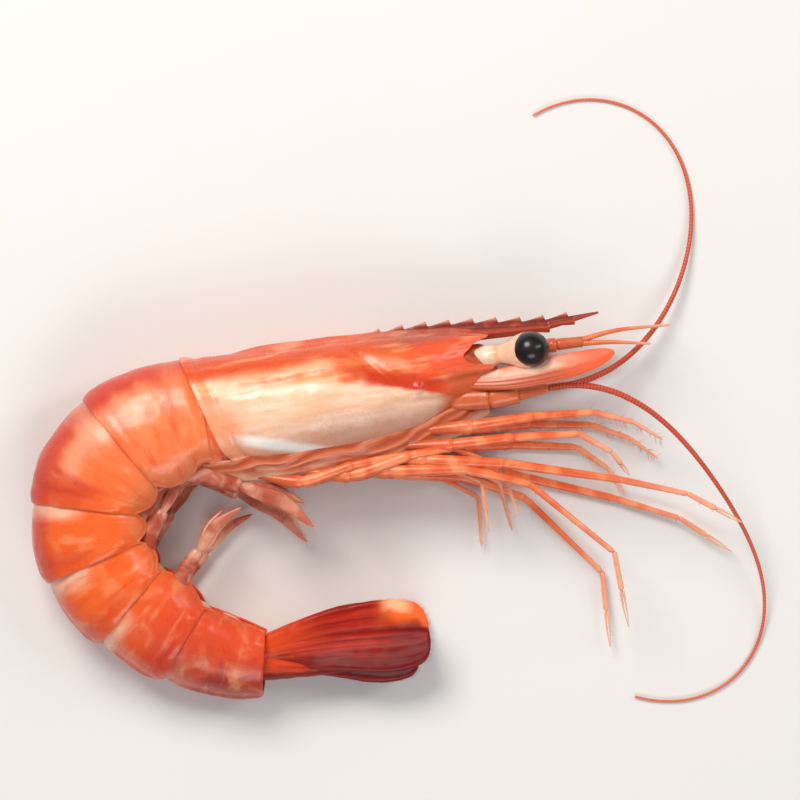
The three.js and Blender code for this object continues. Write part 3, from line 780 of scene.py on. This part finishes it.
def telson(material):
    """The spike along the back of the fan, with a groove down its middle."""
    ROWS, SIDES = 110, 48
    along = [-1, 4, 11, TELSON_LENGTH - 2, TELSON_LENGTH + FAN_ROOT]
    place = np.linspace(along[0], along[-1], ROWS)
    table = lambda sizes: smooth(np.c_[along, sizes], place)
    line = at(FAN, place, table([0.6, 2.2, 3.0, 3.4, 3.6]), 0)
    grid = tube(line, table([3.6, 2.0, 1.2, 0.8, 0.15]), table([2.9, 2.6, 1.8, 0.9, 0.12]), sides=SIDES)
    across = np.cos(turns(SIDES))[None]
    share = ((place - place[0]) / (place[-1] - place[0]))[:, None]
    groove = -0.4 * bell(np.abs(across), 1, 0.06) * window(share, 0.15, 0.85, 0.1)
    skin_piece("telson", material, "tail_fan", raised(grid, groove + 0.08 * grain(grid, 1.2)), share=share,
               across=across)


# The ribs along a blade of the fan: where they are across it, their width and their height.
FAN_RIBS = ((-0.12, 0.05, 0.34), (0.1, 0.05, 0.26), (0.42, 0.04, 0.16), (-0.42, 0.04, 0.14),
            (0.93, 0.07, 0.22))


def uropod(side, outer, material, hairs):
    """One blade of the fan, folded down beside the telson, with ribs along it and a fringe at its end."""
    COUNT, SIDES = 110, 64
    hand = HANDS[side]
    length = UROPOD_LENGTH - (0 if outer else 1.5)
    out, droop = (2.9, -0.6) if outer else (1.7, 1.1)
    # At shares of the blade's length: how far it stands off, its half width and its half thickness.
    shares, ups, wides, thicks = np.array([
        (0, 0.4, 1.9, 1.3), (0.18, 0.0, 2.7, 0.8), (0.45, -0.2, 4.1, 0.5), (0.75, 0.2, 4.9, 0.36),
        (0.92, 0.4, 4.3, 0.26), (0.985, 0.4, 2.9, 0.2), (1, 0.4, 1.2, 0.1)]).T
    share = np.linspace(0, 1, COUNT)
    line = at(FAN, 1 + share * length, smooth(np.c_[shares, ups], share) + droop * share,
              hand * mix(1.4, out, smoothstep(share, 0, 0.4)))
    lean = unit(UP + FAN[2] * 0.28 * hand)
    wide = smooth(np.c_[shares, wides], share)
    grid = tube(line, wide, smooth(np.c_[shares, thicks], share), lean, SIDES)
    across = np.cos(turns(SIDES))[None]
    fade = np.clip(1.15 - share[:, None], 0, 1) ** 0.4 * smoothstep(share, 0, 0.12)[:, None]
    ribs = sum(height * bell(across, middle, width) for middle, width, height in FAN_RIBS)
    grid = raised(grid, ribs * fade + 0.07 * grain(grid, 1.4, 2.0) + 0.16 * grain(grid, 6.0))
    kind = "outer" if outer else "inner"
    skin_piece(f"uropod_{side}_{kind}", material, "tail_fan", grid, share=share, across=across)
    way, edge = rails(line, lean)
    for i in np.linspace(COUNT * 0.6, COUNT - 1, 60).astype(int):
        for sign in (1, -1):
            spot = line[i] + sign * edge[i] * wide[i] * 0.96
            hair(hairs, spot, way[i] + sign * 0.5 * edge[i], random.uniform(0.4, 0.8), 0.035, 0.1)


# ---- materials

def tone(code):
    """An sRGB colour code as the linear colour that a shader takes."""
    parts = [int(code[i:i + 2], 16) / 255 for i in (0, 2, 4)]
    return tuple(p / 12.92 if p < 0.04045 else ((p + 0.055) / 1.055) ** 2.4 for p in parts) + (1.0,)


class Look:
    """A material made of nodes. Its colour starts as a blend of two, and more are painted over it. A share is
    a number, an output, or a (value, low, high) that is eased from low to high, with first and last where
    these aren't 0 and 1."""

    def __init__(self, name):
        self.material = bpy.data.materials.new(name)
        self.material.use_nodes = True
        self.tree = self.material.node_tree
        self.shader = self.tree.nodes["Principled BSDF"]
        self.place = self.add("ShaderNodeTexCoord").outputs["Object"]

    def give(self, socket, value):
        if isinstance(value, bpy.types.NodeSocket):
            self.tree.links.new(value, socket)
        elif value is not None:
            socket.default_value = value

    def add(self, kind, inputs=None, **settings):
        node = self.tree.nodes.new(kind)
        for name, value in settings.items():
            setattr(node, name, value)
        for key, value in (inputs or {}).items():
            self.give(node.inputs[key], value)
        return node

    def mark(self, name):
        return self.add("ShaderNodeAttribute", attribute_name=name).outputs["Fac"]

    def math(self, operation, a, b):
        return self.add("ShaderNodeMath", {0: a, 1: b}, operation=operation).outputs[0]

    def ease(self, value, low, high, first=0, last=1):
        inputs = {"Value": value, "From Min": low, "From Max": high, "To Min": first, "To Max": last}
        return self.add("ShaderNodeMapRange", inputs, interpolation_type="SMOOTHSTEP").outputs["Result"]

    def clouds(self, size, detail=3, warp=0, place=None):
        """Noise from 0 to 1 with patches of a size in millimetres. A given place is in millimetres too."""
        scale = 1 / (size * MM) if place is None else 1 / size
        inputs = {"Vector": place or self.place, "Scale": scale, "Detail": detail, "Distortion": warp}
        return self.add("ShaderNodeTexNoise", inputs).outputs["Fac"]

    def cells(self, size):
        inputs = {"Vector": self.place, "Scale": 1 / (size * MM)}
        return self.add("ShaderNodeTexVoronoi", inputs).outputs["Distance"]

    def drawn(self, along, across, stretch):
        """A place for a texture that is drawn out along the first of two marks."""
        height = self.add("ShaderNodeSeparateXYZ", {"Vector": self.place}).outputs["Z"]
        length, height = self.math("MULTIPLY", along, stretch), self.math("MULTIPLY", height, 250)
        return self.add("ShaderNodeCombineXYZ", {"X": length, "Y": across, "Z": height}).outputs[0]

    def all(self, *shares):
        """The product of several shares."""
        first, *others = [self.ease(*share) if isinstance(share, tuple) else share for share in shares]
        for share in others:
            first = self.math("MULTIPLY", first, share)
        return first

    def wander(self, value, noise, amount):
        """A value moved up and down by a noise, so that edges along it are ragged."""
        return self.math("ADD", value, self.math("MULTIPLY", self.math("SUBTRACT", noise, 0.5), amount))

    def band(self, value, low, high, soft):
        """1 between low and high, fading over a soft length at both ends."""
        return self.all((value, low - soft, low + soft), (value, high - soft, high + soft, 1, 0))

    def start(self, share, a, b):
        """The blend of two colours, each a code or an output."""
        node = self.add("ShaderNodeMix", data_type="RGBA")
        values = {"Factor": self.all(share), "A": a, "B": b}
        for socket in node.inputs:
            if socket.enabled:
                value = values[socket.name]
                self.give(socket, tone(value) if isinstance(value, str) else value)
        self.colour = next(socket for socket in node.outputs if socket.enabled)

    def paint(self, code, *shares):
        """A colour over what is there, as strong as the product of the shares."""
        self.start(self.all(*shares), self.colour, code)

    def speckle(self, amount):
        """Fine pigment spots, thicker in some places than in others."""
        self.paint(RED, (self.cells(0.36), 0.12, 0.32, 1, 0), (self.clouds(5, 4), 0.42, 0.66), amount)

    def bumps(self, *layers):
        """Layers of (height, strength, depth in millimetres), each on the one before."""
        normal = None
        for height, strength, depth in layers:
            inputs = {"Height": height, "Strength": strength, "Distance": depth * MM, "Normal": normal}
            normal = self.add("ShaderNodeBump", inputs).outputs["Normal"]
        return normal

    def finish(self, rough, normal, **fixed):
        inputs = {"Base Color": self.colour, "Roughness": rough, "Normal": normal}
        for key, value in (inputs | fixed).items():
            self.give(self.shader.inputs[key.replace("_", " ")], value)
        return self.material


# Wet food under a thin clear film: a little light goes in, and the film gives sharp highlights.
WET = {"Subsurface_Weight": 0.35, "Subsurface_Radius": (1.0, 0.4, 0.22), "Subsurface_Scale": 1.0 * MM,
       "Coat_Weight": 0.32, "Coat_Roughness": 0.15, "Coat_IOR": 1.36, "IOR": 1.4}
DRIER = WET | {"Subsurface_Weight": 0.18, "Coat_Weight": 0.25, "Coat_Roughness": 0.2}

RED, ORANGE, SALMON = "c5341b", "ee6429", "f98c5c"


def shell_bumps(look, *streaks):
    layers = [(look.clouds(3.2), 0.35, 0.3), (look.clouds(0.9, 5), 0.3, 0.09), (look.cells(0.5), 0.15, 0.04)]
    return look.bumps(*layers, *((streak, 0.3, 0.1) for streak in streaks))


def plate_look():
    """Salmon near the head, orange at the bend and red-orange at the tail. Each plate is reddest before its
    rear edge, and those at the bend have a pale patch where they slid out from under the plate before."""
    look = Look("abdomen shell")
    front, place, up, pale, red = (look.mark(name) for name in ("front", "place", "up", "pale", "red"))
    streaks = look.clouds(1.5, 4, 0.3, look.drawn(up, place, 0.22))
    patches = look.clouds(4, 4, 0.8)
    along = look.wander(place, patches, 7)
    height = look.wander(look.wander(up, patches, 2.4), streaks, 2)
    ragged = look.wander(front, streaks, 0.32)
    look.start((along, 13, 23), "f67843", "f66420")
    look.paint("dd4820", (along, 30, 42))
    look.paint("a22e1a", (along, 40, 48), (up, -1, 4.5))
    look.paint("fa9a62", (patches, 0.5, 0.72, 0, 0.45))
    look.paint("dc4a22", (streaks, 0.5, 0.72, 0, 0.5))
    look.paint("fbab7b", (streaks, 0.28, 0.46, 0.4, 0))
    look.paint("c07a52", (height, -6.5, -1.5, 0.4, 0))
    look.paint("fcb190", look.band(along, 8, 19.5, 2), look.band(height, 4.2, 7.6, 1.2), 0.5)
    look.paint("cb3520", (height, 6, 8.8), (place, 22, 34, 1, 0.6), 0.9)
    look.paint("bf2f1a", look.band(ragged, 0.78, 1.02, 0.14), (height, -1.5, 4.5), red, 0.8)
    look.paint("f9c8ac", look.band(ragged, 0.02, 0.26, 0.14), (height, 1.2, 5), pale, 0.8)
    look.speckle(0.35)
    return look.finish(look.ease(look.clouds(1.4), 0.3, 0.7, 0.26, 0.42), shell_bumps(look, streaks), **WET)


def head_look():
    """A smooth peach-white cheek, with painted lilac-grey shade low down and a painted white highlight along
    its lower edge, under a streaky orange back. A crisp red-orange flame ends the cheek in front."""
    look = Look("head shell")
    forward, up = look.mark("forward"), look.mark("up")
    streaks = look.clouds(1.2, 2, 0.3, look.drawn(forward, up, 0.16))
    patches = look.clouds(3.4, 2, 0.5)
    ahead = look.wander(forward, patches, 4.5)
    high = look.wander(look.wander(up, patches, 1.3), streaks, 1.1)
    length = look.math("MAXIMUM", forward, 0)
    fall = look.math("MULTIPLY", look.math("POWER", length, 2), 0.0066)
    above = look.math("ADD", look.math("SUBTRACT", high, 3.9), fall)  # over the upper border of the cheek
    # Where the painted white highlight lies: a band along the cheek's lower edge.
    gleam = look.math("ADD", look.math("ADD", up, 2.6), look.math("MULTIPLY", length, 0.3))
    look.start((streaks, 0.3, 0.7), "f3b893", "f9d2b8")
    # Painted shade: lilac-grey over the low part of the cheek, which turns down away from the light.
    look.paint("c08a76", (high, -4.6, 0.4, 1, 0), (forward, 3, 22, 0.35, 0.85))
    # Painted highlight: near-white along the lower edge of the cheek.
    look.paint("fff4ee", look.band(gleam, -0.7, 0.8, 0.5), look.band(ahead, -1, 14, 2.5), 0.9)
    look.paint(SALMON, (ahead, -1.5, 4, 0.75, 0))
    cheek = look.colour
    look.start((streaks, 0.34, 0.66), "f59a66", "fabd92")
    look.paint("e56a32", (ahead, 12.5, 17.5))
    look.paint("ee5c34", (ahead, 23, 27))
    look.paint("dc5424", (high, 4.6, 6.6), (ahead, 18, 26, 1, 0))
    look.paint("964636", (high, 4.6, 6.6), (ahead, 18, 26), 0.75)
    look.paint("faae82", (streaks, 0.52, 0.68), 0.5)
    look.paint("bd4420", (streaks, 0.3, 0.42, 1, 0), 0.45)
    look.paint("cc3c15", look.band(ahead, 17.5, 29, 1.6), (above, 1.6, 3, 1, 0))
    look.paint("f8a585", look.band(ahead, 19.5, 25, 1.4), look.band(above, 2.8, 4, 0.5), 0.6)
    look.start((above, -0.35, 0.45), cheek, look.colour)
    look.paint("c1572c", (ahead, 28, 30.5), (high, 0.8, 2.4, 1, 0), 0.9)
    look.speckle(0.35)
    return look.finish(look.ease(look.clouds(1.4), 0.3, 0.7, 0.24, 0.38), shell_bumps(look), **WET)


def rostrum_look():
    """Dark brownish red, with pale lines at the teeth."""
    look = Look("beak")
    look.start((look.mark("level"), 0.3, 0.75), "b4472e", "7c2419")
    look.paint("d98a6c", (look.mark("tooth"), 0.2, 0.8, 0, 0.7))
    look.paint("e0622f", (look.mark("forward"), 16, 28, 0.85, 0))
    look.paint("d0603c", (look.clouds(1.2, 4), 0.5, 0.75, 0, 0.4))
    return look.finish(0.3, shell_bumps(look), **DRIER)


def flesh_look():
    look = Look("flesh")
    look.start(look.mark("below"), ORANGE, "e9b592")
    look.paint(SALMON, (look.clouds(1.5, 4), 0.4, 0.7, 0, 0.5))
    return look.finish(0.34, look.bumps((look.clouds(0.9, 4), 0.5, 0.25)), **WET)


def breast_look():
    """Pale peach along the middle of the underside, brownish orange where the legs are rooted."""
    look = Look("breast")
    below, fold = look.wander(look.mark("below"), look.clouds(2.6, 3, 0.5), 0.35), look.mark("fold")
    look.start((below, 0.35, 0.85), "b9562f", "f3c5a2")
    # Paler on the crests of the folds and dark brown in their troughs: partly the streaked colour of the
    # legs' bases, partly painted shade in the troughs and a painted highlight on the crests.
    look.paint("dd8c60", (fold, 0.55, 0.95, 0, 0.5))
    look.paint("94402a", (fold, 0.05, 0.4, 0.55, 0))
    look.paint("dd8f66", (look.clouds(3, 4), 0.5, 0.75, 0, 0.4))
    return look.finish(0.3, look.bumps((look.clouds(1.6, 3), 0.3, 0.15)), **WET)


def face_look():
    look = Look("face")
    look.start((look.clouds(1.8, 4, 0.8), 0.35, 0.65), "c9592c", "8f3a20")
    return look.finish(0.34, look.bumps((look.clouds(1, 4), 0.5, 0.2)), **WET)


def limb_look(name, base, pale, tip, cup=RED, root=None):
    """Limbs: one colour with paler stretches, a darker rim at the end of each joint, and other colours at the
    tips and the roots."""
    look = Look(name)
    share = look.mark("share")
    look.start((look.clouds(3, 3, 0.5), 0.38, 0.68, 0, 0.8), base, pale)
    look.paint(cup, (look.mark("joint"), 0.3, 1, 0, 0.35))
    look.paint(tip, (share, 0.5, 1, 0, 0.6))
    if root:
        look.paint(root, (share, 0, 0.1, 0.7, 0))
    look.speckle(0.3)
    return look.finish(0.3, look.bumps((look.clouds(1, 3), 0.25, 0.06)), **WET)


def fan_look():
    """Deep red blades with paler ribs: purplish along the outer edge, where the dark is partly painted shade,
    orange near the root, and with a bright orange lobe at the end of the inner edge."""
    look = Look("tail fan")
    share, across = look.mark("share"), look.mark("across")
    length = look.math("MULTIPLY", share, 22)
    streaks = look.clouds(0.9, 4, 0.2, look.drawn(length, across, 0.12))
    lines = look.clouds(0.14, 3, 0.1, look.drawn(length, across, 0.01))
    inwards = look.wander(across, look.clouds(2.5, 3, 0.5), 0.5)
    look.start((lines, 0.36, 0.66), "8c140c", "bd2d16")
    look.paint("e04e20", (share, 0.1, 0.5, 1, 0), (inwards, -0.3, 0.7, 1, 0.35), 0.8)
    # Dark purplish along the outer edge: partly the blade's own colour, partly painted shade where that edge
    # lies in shadow.
    look.paint("5a0f12", (inwards, 0.1, 0.8, 0, 0.7))
    look.paint("6a0d0c", (share, 0.6, 0.9, 0, 0.6))
    look.paint("f76a25", (share, 0.66, 0.84), (inwards, -0.62, -0.2, 1, 0))
    look.paint("fcc695", look.band(share, 0.76, 0.9, 0.05), (inwards, -0.85, -0.62, 1, 0), 0.8)
    look.paint("cf5c40", (look.clouds(2.4, 4), 0.58, 0.8, 0, 0.15))
    normal = look.bumps((lines, 0.4, 0.12), (look.clouds(0.8, 4), 0.25, 0.06))
    return look.finish(look.ease(streaks, 0.3, 0.7, 0.28, 0.42), normal,
                       **DRIER | {"Coat_Weight": 0.1, "Specular_IOR_Level": 0.25})


def scale_look():
    """Greyish cream above, brownish orange below, with orange-red edges and tip."""
    look = Look("antennal scale")
    share, across = look.mark("share"), look.wander(look.mark("across"), look.clouds(1.8), 0.4)
    look.start((look.clouds(1.6, 4), 0.3, 0.7), "f2d2bd", "e2ab90")
    look.paint("b9552f", (across, -0.05, 0.4))
    look.paint("ee6a3e", (across, -0.95, -0.6, 1, 0), 0.8)
    look.paint("ee6236", (share, 0.5, 0.85, 0, 0.85))
    look.paint("dc5f34", (share, 0, 0.2, 0.6, 0))
    look.speckle(0.3)
    return look.finish(0.3, look.bumps((look.clouds(0.9, 4), 0.3, 0.08)), **WET)


def feeler_look():
    look = Look("feeler")
    look.start((look.mark("joint"), 0.2, 1), "cc4e30", "a83a24")
    look.paint("e87f58", (look.mark("share"), 0.2, 1, 0, 0.6))
    return look.finish(0.34, look.bumps((look.clouds(0.5), 0.2, 0.03)), **DRIER)


def eye_look():
    """Nearly black, with a soft gleam and a fine net of facets."""
    look = Look("eye")
    look.start((look.clouds(1.8), 0.35, 0.7), "0c090b", "241a1b")
    return look.finish(0.28, look.bumps((look.cells(0.16), 0.2, 0.02)), Coat_Weight=0.45,
                       Coat_Roughness=0.1, Coat_IOR=1.34, IOR=1.36)


def hair_look():
    look = Look("bristles")
    look.start(look.mark("share"), "b5341e", "e79a74")
    return look.finish(0.4, None, Subsurface_Weight=0.2, Subsurface_Radius=(1.0, 0.4, 0.2),
                       Subsurface_Scale=0.3 * MM)


# ---- stage, light and camera

FLOOR = 4.0  # metres
VIEW_WIDTH = 0.107  # metres of the floor that the picture shows
VIEW_HEIGHT = 0.7  # camera above the floor
SENSOR = 36


def floor():
    mesh = bpy.data.meshes.new("floor")
    edge = FLOOR / 2
    corners = [(-edge, -edge, 0), (edge, -edge, 0), (edge, edge, 0), (-edge, edge, 0)]
    mesh.from_pydata(corners, [], [(0, 1, 2, 3)])
    thing = placed("floor", mesh)
    look = Look("floor")
    look.start(look.clouds(60.0), "dedcda", "e2e0de")
    mesh.materials.append(look.finish(0.6, None))


def area_light(name, place, size, power, colour="ffffff"):
    data = bpy.data.lights.new(name, "AREA")
    data.shape = "ELLIPSE"
    data.size, data.size_y = size
    data.energy = power
    data.color = tone(colour)[:3]
    lamp = placed(name, data)
    lamp.location = place
    lamp.rotation_euler = (-Vector(place)).to_track_quat("-Z", "Y").to_euler()


def light():
    """A soft key light from behind the back, a strip for the long highlights and a weak fill."""
    scene = bpy.context.scene
    scene.view_settings.view_transform = "Standard"
    scene.world = bpy.data.worlds.new("studio")
    scene.world.use_nodes = True
    background = scene.world.node_tree.nodes["Background"]
    background.inputs["Color"].default_value = tone("f4f6fa")
    background.inputs["Strength"].default_value = 0.34
    area_light("key", (-0.15, 0.25, 0.36), (0.24, 0.24), 1.8, "fff8ef")
    area_light("strip", (0.3, 0.12, 0.28), (0.1, 0.3), 0.45)
    area_light("fill", (0.05, -0.34, 0.3), (0.3, 0.2), 0.6)


def camera():
    data = bpy.data.cameras.new("camera")
    data.sensor_width = SENSOR
    data.lens = SENSOR * VIEW_HEIGHT / VIEW_WIDTH
    thing = placed("camera", data)
    thing.location = (0, 0, VIEW_HEIGHT)
    bpy.context.scene.camera = thing


# ---- the whole prawn

def body():
    shell = plate_look()
    for index in range(1, len(RINGS)):
        plate(index, shell)
    flesh(flesh_look())
    head_shell(head_look())
    rostrum(rostrum_look())
    breast(breast_look())
    face(face_look())


def limbs():
    hairs = Form()
    legs = limb_look("legs", "dc5f30", "f09564", "f6c2a2", root="be5a32")
    stalks = limb_look("eye stalks", "f3c7a6", "fbe2cf", "f3b08c", cup="d8744c")
    paddles = limb_look("swimmerets", "a5452e", "e4a98e", "c2745c", cup="8f3a28")
    scale, feelers = scale_look(), feeler_look()
    eyes(eye_look(), stalks)
    for side, hand in HANDS.items():
        antennal_scale(side, hand, scale, hairs)
        antennule(side, hand, legs)
        feeler(side, hand, feelers, legs)
        for number in range(len(LEGS)):
            leg(number, side, legs, hairs)
        for index in range(len(SWIMMERET["sweeps"])):
            swimmeret(index, side, paddles, hairs)
    return hairs


def tail(hairs):
    look = fan_look()
    telson(look)
    for side in HANDS:
        for outer in (True, False):
            uropod(side, outer, look, hairs)


camera()
light()
floor()
body()
bristle_form = limbs()
tail(bristle_form)
piece(bristle_form, "bristles", hair_look())
